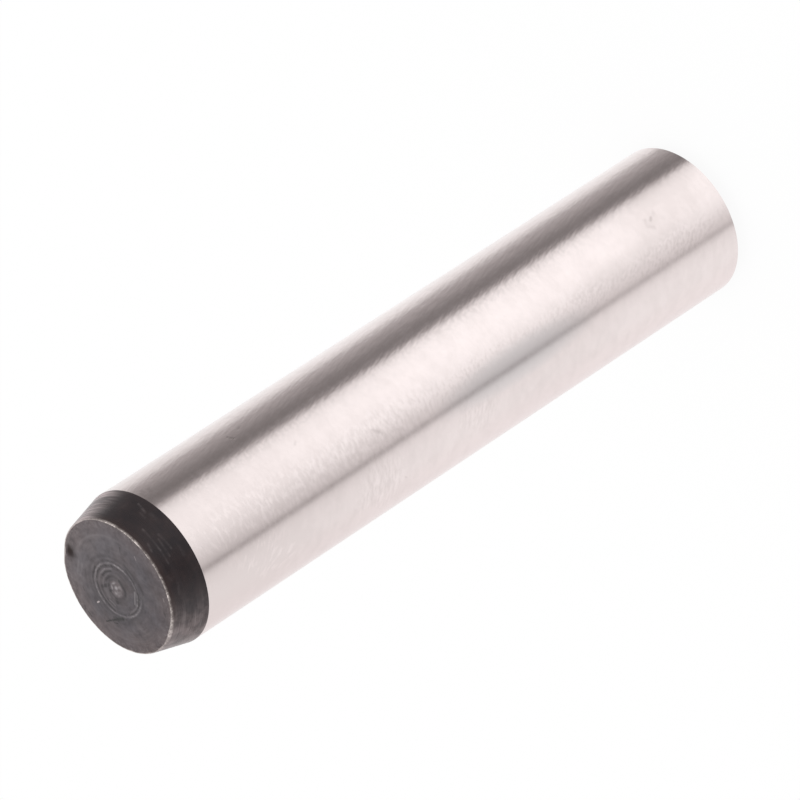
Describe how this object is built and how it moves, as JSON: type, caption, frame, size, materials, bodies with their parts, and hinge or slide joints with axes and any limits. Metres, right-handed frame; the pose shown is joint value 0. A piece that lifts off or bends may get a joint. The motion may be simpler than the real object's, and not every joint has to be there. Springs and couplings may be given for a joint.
{
  "type": "dowel pin",
  "caption": "Straight ground steel dowel pin with a blackened tapered lead at one end and a shallow crown at the other, pressed into reamed holes to locate mating parts.",
  "frame": {"origin": "centre of the flat land at the crowned end, on which the pin stands", "axes": "+Z along the pin's axis, from the crowned end up to the lead end"},
  "size_m": [0.01, 0.01, 0.05],
  "materials": {
    "ground_steel": "fine ground bright shank, both ends left black as turned and hardened"
  },
  "bodies": {
    "root": {"dowel_pin": "ground_steel"}
  },
  "joints": []
}
